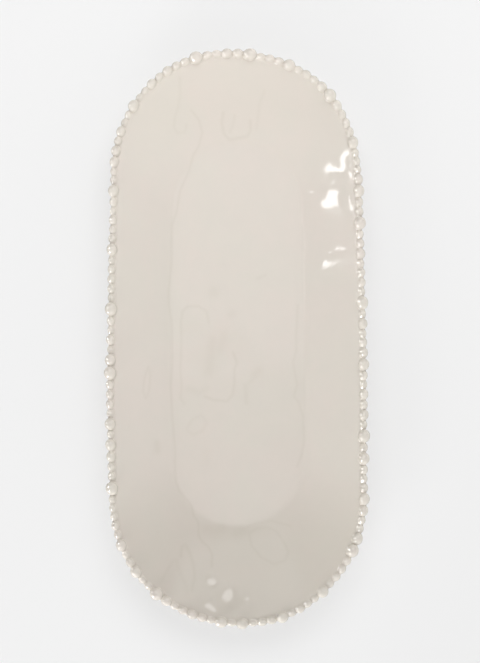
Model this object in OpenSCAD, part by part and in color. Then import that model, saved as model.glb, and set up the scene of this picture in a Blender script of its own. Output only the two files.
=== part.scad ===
// Long oval asparagus plate of glazed stoneware, with a strand of clay beads pressed over its rim.
// The origin is on the table under the plate's middle. +X is to the right, +Y to the far end, +Z up.

/* [Rim] */
// Length of the bead line, from end to end
rim_l = 433.5; // [390:0.5:470]
// Radius of the bead line round the far end
rim_far_r = 94; // [84:0.5:104]
// Radius of the bead line round the near end
rim_near_r = 97; // [84:0.5:104]
// Height of the lip's top above the table
rim_h = 28; // [22:0.5:36]
// Thickness of the lip, which its nose rounds off
lip_t = 4.6; // [3.6:0.1:6]
// Level lip that shows inside the largest beads
lip_show = 2; // [0.5:0.1:4]

/* [Well] */
// Length of the flat well
well_l = 288; // [250:1:310]
// Width of the flat well
well_w = 96; // [80:1:110]
// How far the well's middle lies toward the far end
well_shift = 2.5; // [0:0.5:5]
// Thickness of the floor
floor_t = 6.5; // [5:0.1:9]

/* [Wall] */
// Width of the bend from the well into the wall, at the sides
foot_bend = 7.3; // [4:0.1:12]
// Width of the bend from the wall into the lip, at the sides
lip_bend = 6.1; // [4:0.1:12]

/* [Foot ring] */
// Height of the foot ring
foot_h = 3; // [2:0.1:3.8]
// Width of the foot ring
foot_w = 7; // [5:0.5:10]
// How far the foot ring stands in from the well's edge
foot_inset = 5; // [2:0.5:12]
// Bevel along the foot ring's two lower edges
foot_bevel = 1; // [0.4:0.1:1.6]

/* [Beads] */
// Diameter of the tiny beads
tiny_d = 6.4; // [5.9:0.1:6.7]
// Diameter of the small beads
small_d = 7.2; // [6.8:0.1:7.6]
// Diameter of the medium beads
medium_d = 8.1; // [7.7:0.1:8.6]
// Diameter of the large beads
large_d = 9.2; // [8.7:0.1:9.6]
// Diameter of the extra large beads
extra_large_d = 10.1; // [9.7:0.1:11]
// How far the bead line stands out from the middle of the lip's nose
bead_out = 1; // [0.5:0.1:1.6]
// How far a bead is pressed down over the lip
bead_sink = 3.6; // [2.8:0.1:4]

/* [Hidden] */
$fn = 64;
// The strand, clockwise: Tiny, Small, Medium, Large and eXtra large beads on each stretch of the rim
FAR_END = "TMMSMTTLTTMSMSSXSSMMXTSSLTSSMXMSSSLTTT";
RIGHT_SIDE = "MLSSXTSMTSSTXTMTSMLSTMSMTXSLSTS";
NEAR_END = "LMTTLXSSSTLTTSTLSSTLTLTSMSTMXTTLSTLSSTTT";
LEFT_SIDE = "XSSMLTLTSSSXLTMTSXTSSSTLSTSTSLT";
SIZES = [["tiny", "T"], ["small", "S"], ["medium", "M"], ["large", "L"], ["extra_large", "X"]];
REGIONS = ["far_end", "right_side", "near_end", "left_side"];

GLAZE = "#e6dfd4";
BEAD_GLAZE = "#ece8df";
BARE_CLAY = "#d8c8b0";

// Steps of the dish's surface: round each end, along each side, in each bend of the wall and round the nose
end_steps = 36;
side_steps = 6;
bend_steps = 6;
nose_steps = 8;

nose_r = lip_t / 2;
nose_z = rim_h - nose_r;
floor_z = foot_h + floor_t;
// The level lip reaches in past the largest bead
lip_w = extra_large_d / 2 - bead_out + lip_show;

// A belt is an outline of two round ends joined by tangents: [far r, near r, far y, near y]
function belt(l, far_r, near_r, shift = 0) =
    [far_r, near_r, l / 2 - far_r + shift, l / 2 - near_r - shift];
function grown(b, d) = b + [d, d, 0, 0];
// Angle by which the right-hand tangent's normal leans to the far end
function lean(b) = asin((b[1] - b[0]) / (b[2] + b[3]));
function side_length(b) = (b[2] + b[3]) * cos(lean(b));
function far_length(b) = b[0] * (180 - 2 * lean(b)) * PI / 180;
function near_length(b) = b[1] * (180 + 2 * lean(b)) * PI / 180;

bead_belt = belt(rim_l, rim_far_r, rim_near_r);
nose_belt = grown(bead_belt, -bead_out);
lip_belt = grown(nose_belt, -lip_w);
well_belt = belt(well_l, well_w / 2, well_w / 2, well_shift);

// Points of a belt at height z, anticlockwise from the right-hand end of the far arc
function arc(r, y, from, to, z) =
    [for (i = [0:end_steps])
        let (a = from + (to - from) * i / end_steps)
        [r * cos(a), y + r * sin(a), z]];
function between(p, q) = [for (i = [1:side_steps - 1]) p + (q - p) * i / side_steps];
function ring(b, z) =
    let (
        t = lean(b),
        far = arc(b[0], b[2], t, 180 - t, z),
        near = arc(b[1], -b[3], 180 - t, 360 + t, z)
    )
    concat(far, between(far[end_steps], near[0]), near, between(near[end_steps], far[0]));

// The wall goes straight from the well's belt to the lip's belt, with a bend at both that starts level
side_w = lip_belt[0] - well_belt[0];
foot_share = foot_bend / side_w;
lip_share = lip_bend / side_w;
wall_slope = 1 / (1 - foot_share / 2 - lip_share / 2);
function wall_belt(t) = well_belt + (lip_belt - well_belt) * t;
function rise(t) =
    t < foot_share ? wall_slope * t * t / (2 * foot_share) :
    t > 1 - lip_share ? 1 - wall_slope * (1 - t) * (1 - t) / (2 * lip_share) :
    wall_slope * (t - foot_share / 2);
function wall_z(t) = floor_z + (rim_h - floor_z) * rise(t);
function wall_t(t) = floor_t + (lip_t - floor_t) * t;
// Shares of the wall's width at which its rings lie: close together in the bends, none between them
wall_places = concat(
    [for (i = [0:bend_steps]) foot_share * i / bend_steps],
    [for (i = [0:bend_steps]) 1 - lip_share * (1 - i / bend_steps)]
);

// Triangles across a ring of n points, in strips from its left to its right, for the ring that starts at k
function cap_faces(k, n, up) =
    [for (i = [0:n / 2 - 1])
        let (
            a = end_steps / 2 + i,
            b = a + 1,
            c = (end_steps - b + n) % n,
            d = (end_steps - a + n) % n
        )
        each [
            if (b != c) up ? [k + a, k + c, k + b] : [k + a, k + b, k + c],
            if (a != d) up ? [k + a, k + d, k + c] : [k + a, k + c, k + d]
        ]];
// Triangles between rings of n points that lie one after another, with a cap at each end
function loft_faces(rings, n) = concat(
    cap_faces(0, n, true),
    [for (i = [0:rings - 2])
        for (j = [0:n - 1])
            let (a = i * n + j, b = i * n + (j + 1) % n)
            each [[a, b, b + n], [a, b + n, a + n]]],
    cap_faces((rings - 1) * n, n, false)
);

// Pressed slab: flat well, flaring wall, level lip with a full round nose
module dish() {
    upper = [for (t = wall_places) ring(wall_belt(t), wall_z(t))];
    nose = [for (i = [0:nose_steps])
        let (a = 90 - 180 * i / nose_steps)
        ring(grown(nose_belt, nose_r * cos(a)), nose_z + nose_r * sin(a))];
    under = [for (i = [len(wall_places) - 1:-1:0])
        let (t = wall_places[i])
        ring(wall_belt(t), wall_z(t) - wall_t(t))];
    rings = concat(upper, nose, under);
    color(GLAZE)
        polyhedron([for (r = rings) each r], loft_faces(len(rings), len(rings[0])));
}

// Section of the foot ring, with its outer edge at x = r
module foot_section(r) {
    polygon([
        [r - foot_w + foot_bevel, 0],
        [r - foot_bevel, 0],
        [r, foot_bevel],
        [r, foot_h],
        [r - foot_w, foot_h],
        [r - foot_w, foot_bevel]
    ]);
}

// Low ring under the well that the plate stands on
module foot_ring() {
    r = well_w / 2 - foot_inset;
    run = well_belt[2] + well_belt[3];
    color(BARE_CLAY) {
        translate([0, well_belt[2], 0])
            rotate_extrude(angle = 180)
                foot_section(r);
        translate([0, -well_belt[3], 0])
            rotate([0, 0, 180])
                rotate_extrude(angle = 180)
                    foot_section(r);
        for (turn = [0, 1])
            mirror([turn, 0, 0])
                translate([0, well_belt[2], 0])
                    rotate([90, 0, 0])
                        linear_extrude(run)
                            foot_section(r);
    }
}

function bead_d(letter) =
    letter == "T" ? tiny_d :
    letter == "S" ? small_d :
    letter == "M" ? medium_d :
    letter == "L" ? large_d :
    extra_large_d;
// A stretch starts its pattern again when it is longer than the pattern
function bead(pattern, i) = bead_d(pattern[i % len(pattern)]);
// How many beads fit into a length, and their places along it with the rest shared out between them
function bead_count(pattern, l, n = 0, used = 0) =
    let (next = used + bead(pattern, n))
    next > l ? n : bead_count(pattern, l, n + 1, next);
function bead_sum(pattern, n) = n == 0 ? 0 : bead_sum(pattern, n - 1) + bead(pattern, n - 1);
function bead_places(pattern, l) =
    let (n = bead_count(pattern, l), gap = (l - bead_sum(pattern, n)) / n)
    [for (i = 0, s = gap / 2; i < n; s = s + bead(pattern, i) + gap, i = i + 1)
        s + bead(pattern, i) / 2];

// Section of the lip with its nose's middle at x = r, which a bead's saddle fits
module lip_section(r) {
    translate([r - lip_w, nose_z - nose_r])
        square([lip_w, lip_t]);
    intersection() {
        translate([r, nose_z])
            circle(nose_r);
        translate([r, nose_z - nose_r])
            square([nose_r, lip_t]);
    }
}

// The ball's seam is turned inward, away from the nose
module bead_ball(d) {
    translate([0, 0, rim_h - bead_sink + d / 2])
        rotate([0, 0, 180])
            sphere(d = d);
}

// Beads of one size round an end: r and y of the bead line's arc, and the angle where its strand starts
module end_beads(pattern, letter, r, y, start, l) {
    places = bead_places(pattern, l);
    color(BEAD_GLAZE)
        translate([0, y, 0])
            difference() {
                for (i = [0:len(places) - 1])
                    if (pattern[i % len(pattern)] == letter)
                        rotate([0, 0, start - places[i] / r * 180 / PI])
                            translate([r, 0, 0])
                                bead_ball(bead(pattern, i));
                rotate_extrude($fn = 180)
                    lip_section(r - bead_out);
            }
}

// Beads of one size along the right-hand side, from the far end to the near end, or from near to far
module side_beads(pattern, letter, from_near) {
    l = side_length(bead_belt);
    t = lean(bead_belt);
    places = bead_places(pattern, l);
    color(BEAD_GLAZE)
        translate([bead_belt[0] * cos(t), bead_belt[2] + bead_belt[0] * sin(t), 0])
            rotate([0, 0, t])
                difference() {
                    for (i = [0:len(places) - 1])
                        if (pattern[i % len(pattern)] == letter)
                            translate([0, from_near ? places[i] - l : -places[i], 0])
                                bead_ball(bead(pattern, i));
                    translate([0, extra_large_d, 0])
                        rotate([90, 0, 0])
                            linear_extrude(l + 2 * extra_large_d)
                                lip_section(-bead_out);
                }
}

module far_end_beads(letter) {
    t = lean(bead_belt);
    end_beads(FAR_END, letter, bead_belt[0], bead_belt[2], 180 - t, far_length(bead_belt));
}

module right_side_beads(letter) {
    side_beads(RIGHT_SIDE, letter, false);
}

module near_end_beads(letter) {
    t = lean(bead_belt);
    end_beads(NEAR_END, letter, bead_belt[1], -bead_belt[3], t, near_length(bead_belt));
}

module left_side_beads(letter) {
    mirror([1, 0, 0])
        side_beads(LEFT_SIDE, letter, true);
}

dish();
foot_ring();
for (size = SIZES) {
    far_end_beads(size[1]);
    right_side_beads(size[1]);
    near_end_beads(size[1]);
    left_side_beads(size[1]);
}
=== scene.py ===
# Long oval stoneware plate with a strand of clay beads round its rim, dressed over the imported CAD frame.
# Metres. +X to the right, +Y to the far end, +Z up, and the origin on the table under the plate's middle.
import math
import random
import bpy
import numpy as np
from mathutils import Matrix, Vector, noise


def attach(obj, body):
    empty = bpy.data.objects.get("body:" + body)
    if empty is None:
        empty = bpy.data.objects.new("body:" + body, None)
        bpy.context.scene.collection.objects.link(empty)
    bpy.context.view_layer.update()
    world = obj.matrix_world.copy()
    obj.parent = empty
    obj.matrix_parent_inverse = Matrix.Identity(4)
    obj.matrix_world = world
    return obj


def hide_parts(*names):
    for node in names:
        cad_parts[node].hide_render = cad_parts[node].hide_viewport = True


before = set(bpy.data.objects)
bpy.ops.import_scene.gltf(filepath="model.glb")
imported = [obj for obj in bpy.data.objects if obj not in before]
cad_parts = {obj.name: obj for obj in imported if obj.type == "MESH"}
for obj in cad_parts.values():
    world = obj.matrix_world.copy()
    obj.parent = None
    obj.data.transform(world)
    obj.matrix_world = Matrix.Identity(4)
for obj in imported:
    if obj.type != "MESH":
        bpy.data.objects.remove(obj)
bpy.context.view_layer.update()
scene = bpy.context.scene
scene.view_settings.view_transform = "Standard"
print("frame: %d CAD nodes" % len(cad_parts))

mm = 0.001  # the marks of the potter's hand are given in millimetres
tiny = 1e-12  # keeps a division clear of zero

# sizes that the pieces share: the lip is narrower and the foot of the wall tighter than in the CAD source
# a belt is an outline of two round ends joined by tangents: far radius, near radius, far y, near y
plate = {
    "beadBelt": (0.094, 0.097, 0.12275, 0.11975),
    "wellBelt": (0.048, 0.048, 0.0985, 0.0935),
    "noseInset": 0.001,  # from the bead line to the middle of the lip's nose
    "lipWidth": 0.0024,  # the wall runs on until it is under the beads
    "lipTop": 0.028,
    "lipThick": 0.0046,
    "floorTop": 0.0095,
    "floorThick": 0.0065,
    "footCorner": 0.07,  # where the wall would meet the well without a bend, as a share of its width
    "footBend": 0.05, "lipBend": 0.02,  # shares of the wall's width that bend, at its foot and at the lip
}


def grownBelt(belt, by):
    return belt[0] + by, belt[1] + by, belt[2], belt[3]


def mixedBelt(a, b, t):
    return tuple(p + (q - p) * t for p, q in zip(a, b))


def beltLean(belt):
    return math.asin((belt[1] - belt[0]) / (belt[2] + belt[3]))


noseBelt = grownBelt(plate["beadBelt"], -plate["noseInset"])
lipBelt = grownBelt(noseBelt, -plate["lipWidth"])
noseRadius = plate["lipThick"] / 2
noseHeight = plate["lipTop"] - noseRadius
wallHeight = plate["lipTop"] - plate["floorTop"]


def beltRing(belt, height, endSteps, sideSteps):
    # points of a belt, anticlockwise from the right-hand end of the far arc
    farR, nearR, farY, nearY = belt
    lean = beltLean(belt)
    a = np.linspace(lean, math.pi - lean, endSteps + 1)
    b = np.linspace(math.pi - lean, 2 * math.pi + lean, endSteps + 1)
    far = np.column_stack((farR * np.cos(a), farY + farR * np.sin(a)))
    near = np.column_stack((nearR * np.cos(b), nearR * np.sin(b) - nearY))
    step = np.linspace(0, 1, sideSteps + 1)[1:-1, None]
    left = far[-1] + (near[0] - far[-1]) * step
    right = near[-1] + (far[0] - near[-1]) * step
    ring = np.vstack((far, left, near, right))
    return np.column_stack((ring, np.full(len(ring), height)))


def ringFaces(first, second, count):
    # quads between two rings of points, given by the index that each ring starts at
    turned = [(j + 1) % count for j in range(count)]
    return [(first + j, second + j, second + k, first + k) for j, k in enumerate(turned)]


def beltDistance(points, belt):
    # how far points lie outside a belt in plan, below zero inside it
    farR, nearR, farY, nearY = belt
    lean = beltLean(belt)
    c, s = math.cos(lean), math.sin(lean)
    x, y = np.abs(points[:, 0]), points[:, 1]
    along = c * y - s * x
    side = c * x + s * y - farY * s - farR
    far = np.hypot(x, y - farY) - farR
    near = np.hypot(x, y + nearY) - nearR
    return np.where(along > farY * c, far, np.where(along < -nearY * c, near, side))


def easeInOut(t):
    t = np.clip(t, 0, 1)
    return t * t * (3 - 2 * t)


def wallRise(t):
    # a straight flaring wall that bends into the level well and the level lip, from 0 to 1
    corner, a, b = plate["footCorner"], plate["footBend"], plate["lipBend"]
    slope = 1 / (1 - corner - b / 2)
    t = np.clip(t, 0, 1)
    past = np.clip(t - corner + a / 2, 0, 1)  # from where the bend starts
    foot, lip = slope * past * past / a / 2, 1 - slope * (1 - t) ** 2 / b / 2
    return np.where(past < a, foot, np.where(t > 1 - b, lip, slope * (t - corner)))


def link(tree, a, b):
    tree.links.new(a, b)


def setSocket(tree, socket, value):
    # a socket takes another node's output or a plain value
    if isinstance(value, bpy.types.NodeSocket):
        link(tree, value, socket)
    else:
        socket.default_value = value


def addNode(tree, kind, **settings):
    # a setting is one of the node's own properties, or else the value of a socket
    node = tree.nodes.new(kind)
    for key, value in settings.items():
        if hasattr(node, key):
            setattr(node, key, value)
        else:
            node.inputs[key].default_value = value
    return node


def mathNode(tree, operation, *values, **settings):
    node = addNode(tree, "ShaderNodeMath", operation=operation, **settings)
    for socket, value in zip(node.inputs, values):
        setSocket(tree, socket, value)
    return node.outputs[0]


def mixColour(tree, factor, a, b):
    mix = addNode(tree, "ShaderNodeMix", data_type="RGBA")
    for index, value in ((0, factor), (6, a), (7, b)):  # the colour mix's own sockets
        setSocket(tree, mix.inputs[index], value)
    return mix.outputs[2]


def mixShader(tree, factor, a, b):
    mix = tree.nodes.new("ShaderNodeMixShader")
    for socket, value in zip(mix.inputs, (factor, a, b)):
        link(tree, value, socket)
    return mix.outputs[0]


def mapped(tree, value, low, high, toLow, toHigh):
    node = addNode(tree, "ShaderNodeMapRange", interpolation_type="SMOOTHSTEP")
    link(tree, value, node.inputs["Value"])
    for name, number in (("From Min", low), ("From Max", high), ("To Min", toLow), ("To Max", toHigh)):
        node.inputs[name].default_value = number
    return node.outputs["Result"]


def noiseValue(tree, place, scale, detail=2.0, rough=0.5, warp=0.0):
    node = addNode(tree, "ShaderNodeTexNoise", Scale=scale, Detail=detail, Roughness=rough, Distortion=warp)
    link(tree, place, node.inputs["Vector"])
    return node.outputs["Fac"]


def cellNode(tree, place, scale):
    cells = addNode(tree, "ShaderNodeTexVoronoi", Scale=scale)
    link(tree, place, cells.inputs["Vector"])
    return cells


def addBump(tree, shader, relief, strength, height):
    bump = addNode(tree, "ShaderNodeBump", Strength=strength, Distance=height)
    link(tree, relief, bump.inputs["Height"])
    link(tree, bump.outputs["Normal"], shader.inputs["Normal"])


def newMaterial(name):
    material = bpy.data.materials.new(name)
    material.use_nodes = True
    tree = material.node_tree
    shader = tree.nodes["Principled BSDF"]
    place = tree.nodes.new("ShaderNodeTexCoord").outputs["Object"]
    return material, tree, shader, place


noiseRange = (0.3, 0.7)  # where most values of a noise lie

dishGlaze = {
    "thin": (0.775, 0.708, 0.645, 1), "thick": (0.765, 0.715, 0.645, 1),
    "cloud": (0.74, 0.695, 0.63, 1), "pool": (0.58, 0.528, 0.44, 1), "speck": (0.30, 0.24, 0.18, 1),
    "patchScale": 16.0, "patchRange": (0.35, 0.65),
    "cloudScale": 70.0, "cloudShare": 0.35, "poolAndShadeShare": 0.2,
    "speckScale": 130.0, "speckSize": 0.055, "speckRare": (0.985, 0.995),
    "glossScale": 40.0, "rough": (0.03, 0.07), "ior": 1.5,
    "peelScale": 260.0, "peelStrength": 0.25, "peelHeight": 0.00003,
}
beadGlaze = dict(
    dishGlaze,
    thin=(0.78, 0.716, 0.652, 1), thick=(0.77, 0.724, 0.648, 1), cloud=(0.75, 0.705, 0.632, 1),
    pool=(0.70, 0.645, 0.57, 1), cloudScale=160.0, poolAndShadeShare=0.5, peelScale=500.0, peelHeight=0.00001,
)


def glazeMaterial(name, look):
    material, tree, shader, place = newMaterial(name)
    # cloudy body colour: thick and thin glaze, in broad patches and small ones
    patches = noiseValue(tree, place, look["patchScale"], detail=3, rough=0.55, warp=0.6)
    patches = mapped(tree, patches, *look["patchRange"], 0, 1)
    colour = mixColour(tree, patches, look["thin"], look["thick"])
    clouds = noiseValue(tree, place, look["cloudScale"], detail=4, rough=0.6)
    clouds = mapped(tree, clouds, *noiseRange, 0, look["cloudShare"])
    colour = mixColour(tree, clouds, colour, look["cloud"])
    # pooled glaze, together with painted shade in the joints, in the crease at the foot of the wall and on
    # the end walls, and a painted dull reflection along the runs
    pool = addNode(tree, "ShaderNodeAttribute", attribute_name="pool").outputs["Fac"]
    colour = mixColour(tree, mathNode(tree, "MULTIPLY", pool, look["poolAndShadeShare"]), colour, look["pool"])
    # iron specks, in a few of the cells only
    cells = cellNode(tree, place, look["speckScale"])
    dot = mapped(tree, cells.outputs["Distance"], look["speckSize"] / 2, look["speckSize"], 1, 0)
    chosen = addNode(tree, "ShaderNodeSeparateColor")
    link(tree, cells.outputs["Color"], chosen.inputs[0])
    rare = mapped(tree, chosen.outputs[0], *look["speckRare"], 0, 1)
    colour = mixColour(tree, mathNode(tree, "MULTIPLY", dot, rare), colour, look["speck"])
    link(tree, colour, shader.inputs["Base Color"])
    gloss = noiseValue(tree, place, look["glossScale"], detail=3)
    link(tree, mapped(tree, gloss, *noiseRange, *look["rough"]), shader.inputs["Roughness"])
    shader.inputs["IOR"].default_value = look["ior"]
    # orange peel of the fired glaze
    peel = noiseValue(tree, place, look["peelScale"], detail=2, rough=0.4)
    addBump(tree, shader, peel, look["peelStrength"], look["peelHeight"])
    return material


glazeOnDish = glazeMaterial("glazeOnDish", dishGlaze)
glazeOnBeads = glazeMaterial("glazeOnBeads", beadGlaze)

bareClay = {
    "light": (0.70, 0.60, 0.47, 1), "dark": (0.58, 0.47, 0.35, 1), "grog": (0.36, 0.27, 0.19, 1),
    "patchScale": 45.0, "grogScale": 700.0, "grogSize": (0.12, 0.2), "grogShare": 0.7,
    "grainScale": 420.0, "grainStrength": 0.6, "grainHeight": 0.0002, "rough": (0.75, 0.95),
}


def bareClayMaterial(look):
    material, tree, shader, place = newMaterial("bareClay")
    patches = noiseValue(tree, place, look["patchScale"], detail=4, rough=0.6)
    colour = mixColour(tree, mapped(tree, patches, *noiseRange, 0, 1), look["light"], look["dark"])
    cells = cellNode(tree, place, look["grogScale"])
    grog = mapped(tree, cells.outputs["Distance"], *look["grogSize"], look["grogShare"], 0)
    link(tree, mixColour(tree, grog, colour, look["grog"]), shader.inputs["Base Color"])
    grain = noiseValue(tree, place, look["grainScale"], detail=6, rough=0.7)
    link(tree, mapped(tree, grain, *noiseRange, *look["rough"]), shader.inputs["Roughness"])
    addBump(tree, shader, grain, look["grainStrength"], look["grainHeight"])
    return material


clayOnFoot = bareClayMaterial(bareClay)
print("materials: %d" % len(bpy.data.materials))

creaseAngle = math.radians(50)  # edges that turn further than this stay sharp


def makePiece(name, points, faces, material, node, pool=None):
    mesh = bpy.data.meshes.new(name)
    mesh.from_pydata([tuple(p) for p in points], [], [tuple(int(i) for i in f) for f in faces])
    mesh.polygons.foreach_set("use_smooth", [True] * len(mesh.polygons))
    mesh.set_sharp_from_angle(angle=creaseAngle)
    if pool is not None:
        mesh.attributes.new("pool", "FLOAT", "POINT").data.foreach_set("value", pool.astype(np.float32))
    mesh.materials.append(material)
    piece = bpy.data.objects.new(name, mesh)
    scene.collection.objects.link(piece)
    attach(piece, "root")
    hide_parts(node)
    return piece


dish = {
    "endSteps": 190, "sideSteps": 210,
    "coreInset": 0.032, "coreAcross": 34,  # the middle of the well, meshed straight across
    "wellRings": 40, "wallRings": 62, "lipRings": 4, "noseRings": 14, "underRings": 24, "baseRings": 5,
    # hand-pressed unevenness: length of the waves, their height, and where in the noise they start
    "waves": ((0.085, 0.00040, 3.1), (0.036, 0.00022, 11.7), (0.017, 0.00005, 5.3)),
    "waveFade": 0.014, "hollowFade": 0.004,  # waves and hollows die out over this width next to the lip
    "underShare": 0.8, "baseFade": 0.012,  # how much the outside follows them, and from where off the base
    # the foot of the wall wanders in and out: length, how far, and where in the noise it starts
    "wander": ((0.080, 0.0030, 21.3), (0.030, 0.0012, 33.9)),
    "wanderFade": 0.6,  # the share of the wall over which it straightens out
    # hollows that the hand left, and swellings with a depth below zero, in mm: x, y, reach and depth
    "hollows": (
        # in the right wall
        (80.5, 119.5, 5, -0.13), (65, 124.5, 6.5, -0.16), (73.5, 128, 6, -0.14), (87, 128, 3.7, 0.15),
        (87, 106, 5.6, 0.19), (61.5, 108, 3.2, -0.09), (79, 103.5, 4.5, -0.11), (82, 66.5, 3.4, -0.06),
        (71.5, 65, 2.8, -0.09), (65.5, 63.5, 5, -0.04), (77, 71, 5, -0.07),
        # in the near wall
        (-20, -183.5, 2.5, 0.65), (-8.5, -192.5, 4.7, 0.65), (-7, -190, 2.2, 0.4), (3.5, -198.5, 2.2, 0.25),
        (6, -200, 2.2, -0.45), (-22, -201.5, 2.2, 0.6), (-18, -205, 2.2, 0.25),
        # in the well
        (-36, -21, 9, 0.35), (-7, -16.5, 9, 0.4), (-22, -48.5, 9, 0.2), (-38.5, 1, 9, 0.3),
        (-13, 19, 7.5, -0.2), (18.5, -33, 6, 0.15), (-17.5, -32, 7, 0.2), (-2, -46, 6.5, 0.3),
    ),
    # lines along which the glaze ran, dipped a little and painted darker as a painted dull reflection, in
    # mm: strength, half width, and their points
    "runs": (
        # along the left foot of the wall
        (0.8, 0.7, ((-33, 174), (-27.5, 167), (-25, 158), (-28, 148), (-32.5, 140.5), (-36, 129),
            (-43, 114), (-46, 97), (-49.5, 87), (-49.5, 60), (-52, 37), (-52, 25.5), (-50, 13.5),
            (-49.5, 2), (-49.5, -21), (-51, -36.5), (-49, -75), (-48, -86.5), (-48.5, -98), (-48, -109.5),
            (-45.5, -117), (-36, -129), (-34.5, -136.5), (-30.5, -142), (-30.5, -151.5), (-28, -156),
            (-23, -160), (-20, -166), (-20.5, -175))),
        # down the far wall
        (0.6, 0.8, ((-41, 197.5), (-41, 185), (-43, 176), (-46, 168), (-47, 161.5), (-44.5, 157.5),
            (-38.5, 157.5), (-37, 163.5))),
        (0.9, 0.9, ((-8.5, 172.5), (-10, 165.5), (-8.5, 157), (-4, 152.5), (9.5, 155), (12, 159),
            (12, 166.5))),
        (0.6, 0.8, ((0, 170.5), (-1.5, 162.5), (-4, 158))),
        (0.5, 0.9, ((23, 188.5), (19, 179), (16.5, 160.5))),
        # in the well
        (0.8, 0.8, ((-21.5, 12), (-23, 20.5), (-29, 24.5), (-37.5, 24.5), (-41.5, 20.5), (-43, 12),
            (-42.5, 0.5), (-43.5, -25.5), (-42.5, -36.5), (-43.5, -46.5), (-40.5, -50.5))),
        (0.6, 3, ((-18.5, -2), (-22, -26.5))),
        (0.5, 2.5, ((-10, 2), (-13, -9.5))),
        (0.9, 0.9, ((-25, -45), (-18, -48), (-7.5, -49), (-3.5, -43.5), (-2, -34.5), (-2, -25), (0, -19),
            (-3, -11.5))),
        (0.5, 2, ((-37.5, -39), (-29.5, -42), (-23.5, -39))),
        (0.7, 3.2, ((-18, 36), (-17.5, 35))),
        (0.6, 2.6, ((-4.5, 18), (-3.5, 18.5))),
        (0.7, 2.3, ((13.5, -29), (16.5, -25.5))),
        (0.7, 1.3, ((6.5, -37), (7, -50))),
        (0.5, 1, ((13, -31.5), (8, -36))),
        (0.5, 1, ((-39, -69.5), (-34.5, -62.5), (-27.5, -59.5), (-23.5, -65), (-27, -71.5), (-34, -74.5),
            (-39, -71))),
        (0.35, 3, ((-24, -88), (-24.5, -94.5))),
        (0.6, 1, ((16.5, 45.5), (22.5, 48))),
        # along the right foot of the wall
        (0.7, 0.8, ((47, 24.5), (45.5, 1.5), (45.5, -10), (43, -19.5), (46, -37), (43.5, -45.5),
            (47.5, -50.5), (50.5, -60.5), (51.5, -79.5), (49.5, -91), (46, -99.5))),
        # at the near end of the well
        (0.6, 0.7, ((6.5, -145.5), (15.5, -142.5), (25, -141), (40, -145))),
        (0.5, 3, ((-24.5, -146.5), (-18, -148), (-12, -146.5))),
        (0.5, 3, ((-0.5, -150.5), (4, -148.5))),
        (0.6, 0.8, ((8.5, -150.5), (10, -159.5), (17, -168), (27, -173), (35, -170.5), (38.5, -164.5),
            (35.5, -158), (29.5, -149), (22.5, -146), (14, -147), (8.5, -150.5))),
        # in the left and near walls
        (0.7, 0.7, ((-67.5, -21.5), (-70.5, -30.5), (-71.5, -41), (-69.5, -46), (-67, -40), (-66, -29),
            (-67.5, -21.5))),
        (0.9, 2, ((-62, -80.5), (-61.5, -86))),
        (0.5, 0.8, ((-59.5, -185.5), (-51, -171), (-49, -169.5))),
        (0.7, 0.9, ((-44, -167), (-43.5, -160), (-40.5, -158.5), (-37.5, -163.5), (-34.5, -172.5),
            (-33.5, -182.5), (-36, -192))),
        (0.4, 1.2, ((-47.5, -169.5), (-45, -178.5), (-41, -186), (-39, -193.5))),
    ),
    "runDepth": 0.00004,
    "footGlazeAndShade": (0.1, 0.003, 0.009),  # pooled glaze with painted shade in the crease along the foot: how much, how far out, and half width
    # the walls of the far and near ends painted darker, as painted shade and a thicker glaze: sign of y,
    # how much, from which y, and its fade
    "thickEndsAndShade": ((1, 0.6, 0.130, 0.050), (-1, 1.3, 0.080, 0.080)),
    "thickEndsAndShadeEdge": 0.006,  # it comes in over this width at the foot of the wall
    # where the potter's hand pulled the rim out or in, in mm: x, y, reach, and how far along x and y
    "pulls": (
        (-94, 120, 35, 1.6, 0), (-44, 206, 25, -0.6, 1.1), (14, 216, 20, -0.1, -0.9),
        (66, 189, 22, 0.7, 0.7), (91, 146, 22, -0.8, -0.2), (95, 0, 40, 0.8, 0), (97, -117, 30, -0.8, 0),
        (38, -209, 22, 0.7, -1.6), (-97, -125, 30, 1.4, 0), (-96, -45, 28, -0.6, 0),
    ),
}


def unevenness(points, layers):
    total = np.zeros(len(points))
    for length, depth, start in layers:
        spots = [Vector((x / length, y / length, start)) for x, y, z in points]
        total += depth * np.array([noise.noise(spot) for spot in spots])
    return total


def waveHeight(points):
    inside = -beltDistance(points, lipBelt)
    height = unevenness(points, dish["waves"]) * easeInOut(inside / dish["waveFade"])
    for x, y, reach, depth in np.array(dish["hollows"]) * mm:
        away = np.hypot(points[:, 0] - x, points[:, 1] - y) / reach
        height -= depth * np.exp(-away * away / 2) * easeInOut(inside / dish["hollowFade"])
    return height


def runAndDullReflectionShare(points):
    # how strongly the glaze's runs, dipped and painted darker as a dull reflection, mark each point, from 0
    # to 1
    marked = np.zeros(len(points))
    for strength, width, line in dish["runs"]:
        line = np.array(line) * mm
        for a, b in zip(line[:-1], line[1:]):
            along = np.clip((points[:, :2] - a) @ (b - a) / ((b - a) @ (b - a)), 0, 1)
            away = np.linalg.norm(points[:, :2] - a - along[:, None] * (b - a), axis=1) / (width * mm)
            marked = np.maximum(marked, strength * np.exp(-away * away / 2))
    return marked


def pulled(points):
    moved = points.copy()
    for x, y, reach, alongX, alongY in np.array(dish["pulls"]) * mm:
        near = np.exp(-((points[:, 0] - x) ** 2 + (points[:, 1] - y) ** 2) / (2 * reach * reach))
        moved[:, 0] += near * alongX
        moved[:, 1] += near * alongY
    return moved


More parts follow.
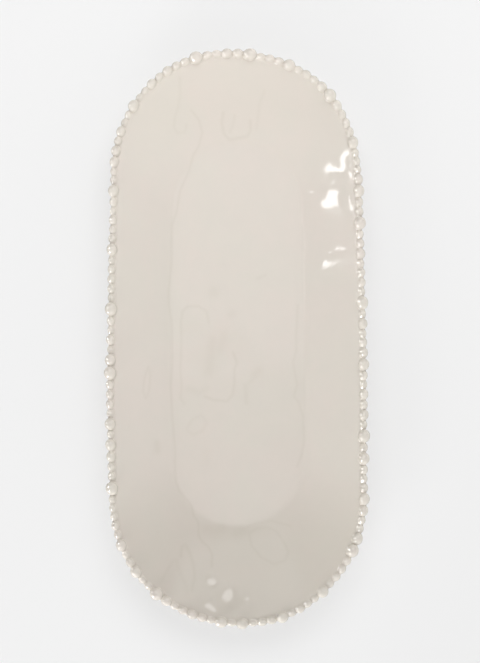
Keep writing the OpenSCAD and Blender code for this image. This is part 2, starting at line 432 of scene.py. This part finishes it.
def glazeThicknessAndShade(points, marked):
    # pooled glaze and painted light: a painted dull reflection along the runs, and painted shade in the
    # crease along the foot of the wall and on the walls of the two ends
    fromWell = beltDistance(points, plate["wellBelt"])
    strength, out, width = dish["footGlazeAndShade"]
    thick = easeInOut(1 - np.abs(fromWell - out) / width) * strength + marked
    onWall = easeInOut(fromWell / dish["thickEndsAndShadeEdge"])
    # the end walls painted darker: painted shade on them, with a thicker glaze
    for way, share, start, length in dish["thickEndsAndShade"]:
        thick += onWall * share * easeInOut((way * points[:, 1] - start) / length)
    return thick


def makeDish():
    end, side = dish["endSteps"], dish["sideSteps"]
    well = plate["wellBelt"]
    core = grownBelt(well, -dish["coreInset"])
    wallWidth = lipBelt[0] - well[0]

    def ring(belt, z):
        return beltRing(belt, z, end, side)

    def upperRing(belt, t):
        # t goes from 0 at the foot of the wall to 1 at the lip, and is below 0 in the well
        points = ring(belt, 0)
        t = t + unevenness(points, dish["wander"]) / wallWidth * (1 - easeInOut(t / dish["wanderFade"]))
        points[:, 2] = plate["floorTop"] + wallHeight * wallRise(t)
        return points

    upper = []
    for inset in np.linspace(dish["coreInset"], 0, dish["wellRings"]):
        upper.append(upperRing(grownBelt(well, -inset), -inset / wallWidth))
    for t in np.linspace(0, 1, dish["wallRings"])[1:]:
        upper.append(upperRing(mixedBelt(well, lipBelt, t), t))
    for t in np.linspace(0, 1, dish["lipRings"])[1:-1]:
        upper.append(ring(mixedBelt(lipBelt, noseBelt, t), plate["lipTop"]))
    nose = []
    for a in np.linspace(math.pi / 2, -math.pi / 2, dish["noseRings"]):
        out, height = noseRadius * math.cos(a), noseHeight + noseRadius * math.sin(a)
        nose.append(ring(grownBelt(noseBelt, out), height))
    under = []
    for t in np.linspace(1, 0, dish["underRings"]):
        thick = plate["floorThick"] + (plate["lipThick"] - plate["floorThick"]) * t
        height = plate["floorTop"] + wallHeight * wallRise(t) - thick
        under.append(ring(mixedBelt(well, lipBelt, t), height))
    for t in np.linspace(0, 1, dish["baseRings"])[1:]:
        under.append(ring(mixedBelt(well, core, t), plate["floorTop"] - plate["floorThick"]))

    rings = upper + nose + under
    count = len(rings[0])
    points = [p for r in rings for p in r]
    faces = []
    for i in range(len(rings) - 1):
        faces += ringFaces(i * count, (i + 1) * count, count)

    def closeAcross(first, up):
        # rows from the left points of a ring to the right ones, from the far tip to the near tip
        across = dish["coreAcross"]
        rows = []
        for k in range(end // 2, end // 2 + count // 2 + 1):
            a, b = first + k % count, first + (end - k) % count
            row = [a]
            if a != b:
                for q in range(1, across):
                    row.append(len(points))
                    points.append(points[a] + (points[b] - points[a]) * q / across)
                row.append(b)
            rows.append(row)
        for one, two in zip(rows, rows[1:]):
            for q in range(across):
                corners = [one[min(q, len(one) - 1)], two[min(q, len(two) - 1)],
                           two[min(q + 1, len(two) - 1)], one[min(q + 1, len(one) - 1)]]
                corners = list(dict.fromkeys(corners))
                faces.append(tuple(corners if up else corners[::-1]))

    topEnd = len(upper) * count
    closeAcross(0, True)
    middle = len(points)
    closeAcross((len(rings) - 1) * count, False)
    points = np.array(points)
    top = np.r_[0:topEnd, len(rings) * count:middle]
    points[top, 2] += waveHeight(points[top])
    # the wall's outside follows the waves, and the base that the foot stands on stays flat
    underStart = topEnd + len(nose) * count
    wallUnder = np.arange(underStart, underStart + dish["underRings"] * count)
    offBase = easeInOut(beltDistance(points[wallUnder], well) / dish["baseFade"])
    points[wallUnder, 2] += waveHeight(points[wallUnder]) * dish["underShare"] * offBase
    marked = runAndDullReflectionShare(points[top])
    points[top, 2] -= marked * dish["runDepth"]
    # painted shade and painted dull reflection, with the pooled glaze, carried to the colour as a point
    # attribute
    pool = np.zeros(len(points))
    pool[top] = glazeThicknessAndShade(points[top], marked)
    return makePiece("glazedDish", pulled(points), faces, glazeOnDish, "dish", pool)


dishPiece = makeDish()
print("dish: %d faces" % len(dishPiece.data.polygons))

footRing = {
    "inset": 0.005, "width": 0.007, "height": 0.003, "intoFloor": 0.0003,
    "edge": 0.0009, "edgeSteps": 5, "kneeShare": 0.6,  # an extra ring at this share of its height
    "endSteps": 110, "sideSteps": 80,
    "uneven": 0.00012, "unevenScale": (90, 90, 200), "unevenStart": (0, 0, 7),
}


def makeFootRing():
    belt = grownBelt(plate["wellBelt"], -footRing["inset"])
    edge, width = footRing["edge"], footRing["width"]
    top = footRing["height"] + footRing["intoFloor"]
    knee = top * footRing["kneeShare"]
    turn = np.linspace(0, math.pi / 2, footRing["edgeSteps"])
    profile = [(0, top), (0, knee)]
    profile += [(-edge + edge * math.cos(a), edge - edge * math.sin(a)) for a in turn]
    profile += [(-width / 2, 0)]
    profile += [(-width + edge - edge * math.sin(a), edge - edge * math.cos(a)) for a in turn]
    profile += [(-width, knee), (-width, top), (-width / 2, top)]
    steps = footRing["endSteps"], footRing["sideSteps"]
    rings = [beltRing(grownBelt(belt, out), z, *steps) for out, z in profile]
    count = len(rings[0])
    points = np.vstack(rings)
    # trimmed with a knife by hand, so the sides waver and the face that it stands on is flat
    spots = points * footRing["unevenScale"] + footRing["unevenStart"]
    shake = np.array([noise.noise(Vector(spot)) for spot in spots])
    middle = np.column_stack((points[:, 0], points[:, 1], np.zeros(len(points))))
    middle[:, 1] -= np.clip(points[:, 1], -belt[3], belt[2])
    out = middle / np.linalg.norm(middle, axis=1)[:, None]
    points += out * (shake * footRing["uneven"])[:, None]
    faces = []
    for i in range(len(rings)):
        faces += ringFaces(i * count, (i + 1) % len(rings) * count, count)
    return makePiece("bareFootRing", points, faces, clayOnFoot, "foot_ring")


footPiece = makeFootRing()
print("foot ring: %d faces" % len(footPiece.data.polygons))

beads = {
    # clockwise: tiny, small, medium, large and extra large beads on each stretch of the rim
    "strand": {
        "far_end": "TMMSMTTLTTMSMSSXSSMMXTSSLTSSMXMSSSLTTT",
        "right_side": "MLSSXTSMTSSTXTMTSMLSTMSMTXSLSTS",
        "near_end": "LMTTLXSSSTLTTSTLSSTLTLTSMSTMXTTLSTLSSTTT",
        "left_side": "XSSMLTLTSSSXLTMTSXTSSSTLSTSTSLT",
    },
    "sizes": {"T": 0.0064, "S": 0.0072, "M": 0.0081, "L": 0.0092, "X": 0.0101},
    "words": {"T": "tiny", "S": "small", "M": "medium", "L": "large", "X": "extra_large"},
    "across": {"T": 0.80, "S": 0.82, "M": 0.85, "L": 0.88, "X": 0.91},  # pressed narrow across the lip
    "sink": 0.0036,  # pressed down over the lip
    "flat": (0.88, 0.95),  # pressed a little flat
    "lump": 0.035, "dent": 0.03, "seed": 41,  # hand-rolled, so not quite round
    "jointGlaze": 0.0018, "lipGlaze": 0.0014,  # how far the glaze bridges from bead to bead and to the lip
    "skirtShare": 0.8,  # the glaze stands out from a bead by no more than this share of lipGlaze
    "poolAndShadeReach": 0.0012,  # the glaze is painted darker this close to a joint or to the lip, as painted shade in the crevice and as pooled glaze
    "intoLip": 0.0004, "heartClear": 0.0004,  # how far the skin goes into the lip, and its heart off it
    "alongSteps": 24, "aroundSteps": 42,
    # the skin is looked for out to so many radii and widths of lipGlaze, in steps and then in halvings
    "searchReach": (1.08, 0.9), "searchFrom": 0.04, "searchSteps": 40, "halvings": 12,
}


def beadPlaces(letters, length):
    sizes = [beads["sizes"][c] for c in letters]
    gap = (length - sum(sizes)) / len(sizes)
    ends = np.cumsum([d + gap for d in sizes])
    return [e - (d + gap) / 2 for d, e in zip(sizes, ends)]


def strandBeads():
    farR, nearR, farY, nearY = plate["beadBelt"]
    lean = beltLean(plate["beadBelt"])
    sideLength = (farY + nearY) * math.cos(lean)
    right = np.array((math.cos(lean), math.sin(lean)))
    down = np.array((math.sin(lean), -math.cos(lean)))
    farMiddle, nearMiddle = np.array((0, farY)), np.array((0, -nearY))
    rightTop = farMiddle + farR * right
    mirror = np.array((-1, 1))
    lengths = {"far_end": farR * (math.pi - 2 * lean), "near_end": nearR * (math.pi + 2 * lean),
               "right_side": sideLength, "left_side": sideLength}

    def spotOnRim(region, s):
        # the place on the bead line at a length s along its stretch, and the way out from there
        if region == "far_end":
            a = math.pi - lean - s / farR
            out = np.array((math.cos(a), math.sin(a)))
            return farMiddle + farR * out, out
        if region == "near_end":
            a = lean - s / nearR
            out = np.array((math.cos(a), math.sin(a)))
            return nearMiddle + nearR * out, out
        if region == "right_side":
            return rightTop + down * s, right
        return (rightTop + down * (sideLength - s)) * mirror, right * mirror

    low = plate["lipTop"] - beads["sink"]
    chance = random.Random(beads["seed"])
    found = []
    for region, letters in beads["strand"].items():
        for letter, s in zip(letters, beadPlaces(letters, lengths[region])):
            spot, out = spotOnRim(region, s)
            radius = beads["sizes"][letter] / 2
            lump = np.array([[chance.uniform(-1, 1) for _ in range(3)] for _ in range(3)]) * beads["lump"]
            lump = (lump + lump.T) / 2
            dentWay = np.array([chance.uniform(-1, 1) for _ in range(3)])
            flat = chance.uniform(*beads["flat"])
            found.append({
                "node": "%s_%s_beads" % (region, beads["words"][letter]),
                "radius": radius,
                "centre": np.array((spot[0], spot[1], low + radius * flat)),
                "axes": np.array(((out[1], -out[0], 0), (out[0], out[1], 0), (0, 0, 1))),  # along, out, up
                "stretch": np.array((1.0, beads["across"][letter], flat)),
                "lump": lump - np.eye(3) * np.trace(lump) / 3,
                "dentWay": dentWay / np.linalg.norm(dentWay),
                "dent": beads["dent"] * chance.uniform(-1, 1),
            })
    return found


def beadField(bead, points):
    # distance from a bead's skin, below zero inside it
    away = (points - bead["centre"]) @ bead["axes"].T / bead["stretch"]
    reach = np.linalg.norm(away, axis=1) + tiny
    way = away / reach[:, None]
    lump = ((way @ bead["lump"]) * way).sum(1) + bead["dent"] * (way @ bead["dentWay"]) ** 3
    return reach - bead["radius"] * (1 + lump)


def lipField(points):
    # distance from the skin of the lip, and of the top of the wall where it falls away inside the lip
    out = np.maximum(beltDistance(points, noseBelt), 0)
    fromWell, fromLip = beltDistance(points, plate["wellBelt"]), beltDistance(points, lipBelt)
    fall = wallHeight * (1 - wallRise(fromWell / (fromWell - fromLip)))
    return np.hypot(out, points[:, 2] + fall - noseHeight) - noseRadius


def runTogether(a, b, width):
    # two skins as one, with a round fillet between them
    h = np.clip(1 - np.abs(a - b) / width, 0, 1)
    return np.minimum(a, b) - h * h * width / 4


def beadWays(bead):
    # the ways in which the skin is looked for, from tip to tip along the strand
    ways = [(1, 0, 0)]
    for a in np.linspace(0, math.pi, beads["alongSteps"] + 1)[1:-1]:
        for b in np.linspace(0, 2 * math.pi, beads["aroundSteps"], endpoint=False):
            ways.append((math.cos(a), math.sin(a) * math.cos(b), math.sin(a) * math.sin(b)))
    return np.array(ways + [(-1, 0, 0)]) @ bead["axes"]


def beadFaces(last):
    around = beads["aroundSteps"]
    faces = []
    for j in range(around):
        k = (j + 1) % around
        faces.append((0, 1 + j, 1 + k))
        faces.append((last, last - around + k, last - around + j))
    for i in range(beads["alongSteps"] - 2):
        faces += ringFaces(1 + i * around, 1 + (i + 1) * around, around)
    return faces


def beadShell(bead, before, after):
    # the skin of one bead, with the glaze that bridges to its neighbours and to the lip
    ways = beadWays(bead)
    # the skin is looked for from the bead's heart, which lies clear of the lip
    offNose = np.array((0, plate["noseInset"], bead["centre"][2] - noseHeight)) @ bead["axes"]
    clear = max(beads["heartClear"] - lipField(bead["centre"][None])[0], 0)
    heart = bead["centre"] + offNose / np.linalg.norm(offNose) * clear
    limits = []
    for other in (before, after):
        way = other["centre"] - bead["centre"]
        apart = np.linalg.norm(way)
        share = bead["radius"] + (apart - bead["radius"] - other["radius"]) / 2
        limits.append((way / apart, share))

    def outside(reach):
        p = heart + ways * reach[:, None]
        lip, own = lipField(p), beadField(bead, p)
        skin = runTogether(beadField(before, p), beadField(after, p), beads["jointGlaze"])
        skin = runTogether(own, skin, beads["jointGlaze"])
        skin = runTogether(skin, lip, beads["lipGlaze"])
        value = np.maximum(skin, -lip - beads["intoLip"])
        value = np.maximum(value, own - beads["lipGlaze"] * beads["skirtShare"])
        for way, share in limits:
            value = np.maximum(value, (p - bead["centre"]) @ way - share)
        return value

    radii, glazes = beads["searchReach"]
    most = bead["radius"] * radii + beads["lipGlaze"] * glazes + clear
    low, high = np.zeros(len(ways)), np.full(len(ways), most)
    going = np.ones(len(ways), bool)
    for reach in np.linspace(beads["searchFrom"], 1, beads["searchSteps"]) * most:
        hit = outside(np.full(len(ways), reach)) >= 0
        high = np.where(going & hit, reach, high)
        going &= ~hit
        low = np.where(going, reach, low)
    for _ in range(beads["halvings"]):
        middle = (low + high) / 2
        hit = outside(middle) >= 0
        low, high = np.where(hit, low, middle), np.where(hit, middle, high)
    points = heart + ways * low[:, None]
    # painted shade in the crevices at the joints and at the lip, with the pooled glaze
    near = np.minimum(np.minimum(beadField(before, points), beadField(after, points)), lipField(points))
    pool = np.clip(1 - near / beads["poolAndShadeReach"], 0, 1)
    return points, beadFaces(len(points) - 1), pool


def makeBeads():
    strand = strandBeads()
    shells = {}
    for i, bead in enumerate(strand):
        shell = beadShell(bead, strand[i - 1], strand[(i + 1) % len(strand)])
        shells.setdefault(bead["node"], []).append(shell)
    pieces = []
    for node, group in shells.items():
        points, faces, pool = [], [], []
        for shellPoints, shellFaces, shellPoolAndShade in group:
            faces += [tuple(i + len(points) for i in face) for face in shellFaces]
            points += list(shellPoints)
            pool += list(shellPoolAndShade)
        words = node.split("_")
        name = words[0] + "".join(word.title() for word in words[1:])
        points, pool = pulled(np.array(points)), np.array(pool)
        pieces.append(makePiece(name, points, faces, glazeOnBeads, node, pool))
    return pieces


beadPieces = makeBeads()
print("beads: %d pieces, %d faces" % (len(beadPieces), sum(len(p.data.polygons) for p in beadPieces)))

table = {
    "size": 40.0, "drop": 0.0002,
    "pale": (0.90, 0.90, 0.90, 1), "shown": (0.91, 0.91, 0.91, 1), "shadowShare": 0.38,
}


def makeTable():
    half = table["size"] / 2
    corners = [(-half, -half, 0), (half, -half, 0), (half, half, 0), (-half, half, 0)]
    mesh = bpy.data.meshes.new("table")
    mesh.from_pydata(corners, [], [(0, 1, 2, 3)])
    floor = bpy.data.objects.new("table", mesh)
    floor.location.z = -table["drop"]
    scene.collection.objects.link(floor)
    material = bpy.data.materials.new("paleTable")
    material.use_nodes = True
    tree = material.node_tree
    tree.nodes.clear()
    lit = addNode(tree, "ShaderNodeBsdfDiffuse", Color=table["pale"])
    shown = addNode(tree, "ShaderNodeEmission", Color=table["shown"], Strength=1.0)
    # seen directly or in the glaze it is an even pale ground that keeps a part of the shadow
    path = tree.nodes.new("ShaderNodeLightPath")
    seen = mathNode(tree, "MAXIMUM", path.outputs["Is Camera Ray"], path.outputs["Is Glossy Ray"])
    seen = mathNode(tree, "MAXIMUM", seen, path.outputs["Is Transmission Ray"])
    share = mathNode(tree, "MULTIPLY", seen, 1 - table["shadowShare"])
    surface = mixShader(tree, share, lit.outputs[0], shown.outputs[0])
    link(tree, surface, tree.nodes.new("ShaderNodeOutputMaterial").inputs["Surface"])
    mesh.materials.append(material)


makeTable()

# glow is a lamp's brightness in its middle, where 1 is white, and soft the share that fades to its edges
# a glint is a lamp that shows in the glaze and lights nothing else, and one without gloss only lights
lamps = {
    "farPanel": {"at": (0.10, 0.981, 1.236), "to": (0.0, -0.019, 0.016), "size": (1.6, 1.0),
                 "glow": 3.65, "soft": 0.04},
    "nearLeftPanel": {"at": (-0.65, -1.13, 0.45), "to": (0.0, 0.0, 0.0), "size": (0.7, 0.5),
                      "glow": 9.0, "soft": 0.3, "gloss": False},
    "overheadPanel": {"at": (0.0, 0.20, 1.55), "to": (0.0, 0.20, 0.0), "size": (0.9, 0.515),
                      "glow": 0.65, "soft": 0.10},
    "leftPanel": {"at": (-1.15, 0.0, 0.75), "to": (0.0, 0.0, 0.0), "size": (1.8, 0.7),
                  "glow": 0.1, "soft": 0.6},
    "rightPanel": {"at": (1.15, 0.0, 0.75), "to": (0.0, 0.0, 0.0), "size": (1.8, 0.7),
                   "glow": 0.1, "soft": 0.6},
    "nearLeftGlint": {"at": (-0.90, -0.90, 0.40), "to": (0.0, 0.0, 0.0), "size": (0.56, 0.56),
                      "glow": 40.0, "soft": 0.6, "glint": True},
    "leftGlint": {"at": (-1.25, 0.30, 0.42), "to": (0.0, 0.0, 0.0), "size": (0.52, 0.52),
                  "glow": 34.0, "soft": 0.6, "glint": True},
    "wallGlintFar": {"at": (-1.10, 0.118, 1.374), "to": (0.0, 0.118, 1.374), "size": (0.221, 0.063),
                     "glow": 11.0, "soft": 0.1, "glint": True},
    "wallGlintMiddle": {"at": (-1.10, 0.242, 1.123), "to": (0.0, 0.242, 1.123), "size": (0.086, 0.088),
                        "glow": 11.0, "soft": 0.1, "glint": True},
    "wallGlintNear": {"at": (-1.10, 0.114, 1.131), "to": (0.0, 0.114, 1.131), "size": (0.016, 0.086),
                      "glow": 11.0, "soft": 0.1, "glint": True},
}
# the even light of a white room, from each side: axis, sign and brightness
room = {"right": (0, 1, 0.86), "left": (0, -1, 0.30), "near": (1, -1, 1.58), "below": (2, -1, 0.3)}


def softEdge(tree, share):
    # full in the middle of a lamp's face, fading over a share of its half width
    face = addNode(tree, "ShaderNodeSeparateXYZ")
    link(tree, tree.nodes.new("ShaderNodeNewGeometry").outputs["Parametric"], face.inputs[0])
    middle = 0.5  # of a face that runs from 0 to 1
    edges = []
    for axis in (0, 1):
        off = mathNode(tree, "ABSOLUTE", mathNode(tree, "SUBTRACT", face.outputs[axis], middle))
        edges.append(mapped(tree, off, middle - middle * share, middle, 1, 0))
    return mathNode(tree, "MULTIPLY", *edges)


def makeLamps():
    for name, values in lamps.items():
        light = bpy.data.lights.new(name, "AREA")
        light.shape = "RECTANGLE"
        light.size, light.size_y = values["size"]
        light.energy = values["glow"] * math.pi * light.size * light.size_y
        light.use_nodes = True
        tree = light.node_tree
        link(tree, softEdge(tree, values["soft"]), tree.nodes["Emission"].inputs["Strength"])
        lamp = bpy.data.objects.new(name, light)
        lamp.location = values["at"]
        way = Vector(values["to"]) - Vector(values["at"])
        lamp.rotation_euler = way.to_track_quat("-Z", "Y").to_euler()
        lamp.visible_diffuse = not values.get("glint", False)
        lamp.visible_glossy = values.get("gloss", True)
        scene.collection.objects.link(lamp)


def makeRoom():
    world = bpy.data.worlds.new("room")
    world.use_nodes = True
    tree = world.node_tree
    way = addNode(tree, "ShaderNodeSeparateXYZ")
    link(tree, tree.nodes.new("ShaderNodeTexCoord").outputs["Generated"], way.inputs[0])
    total = 0.0
    for axis, sign, brightness in room.values():
        facing = mathNode(tree, "MULTIPLY", way.outputs[axis], sign, use_clamp=True)
        total = mathNode(tree, "MULTIPLY_ADD", mathNode(tree, "POWER", facing, 2), brightness, total)
    lit = tree.nodes["Background"]
    lit.inputs["Color"].default_value = (1, 1, 1, 1)
    link(tree, total, lit.inputs["Strength"])
    # the wall behind the table is as pale as the table where it is seen directly
    seen = addNode(tree, "ShaderNodeBackground", Color=table["shown"], Strength=1.0)
    direct = tree.nodes.new("ShaderNodeLightPath").outputs["Is Camera Ray"]
    surface = mixShader(tree, direct, lit.outputs[0], seen.outputs[0])
    link(tree, surface, tree.nodes["World Output"].inputs["Surface"])
    scene.world = world


makeLamps()
makeRoom()

cameraView = {"over": (0.0027, 0.0048), "height": 1.28, "turn": -0.485, "lens": 89.5}  # straight down


def makeCamera():
    data = bpy.data.cameras.new("camera")
    data.lens = cameraView["lens"]
    camera = bpy.data.objects.new("camera", data)
    camera.location = (*cameraView["over"], cameraView["height"])
    camera.rotation_euler = (0, 0, math.radians(cameraView["turn"]))
    scene.collection.objects.link(camera)
    scene.camera = camera


makeCamera()
print("table, %d lamps and camera are set" % len(lamps))
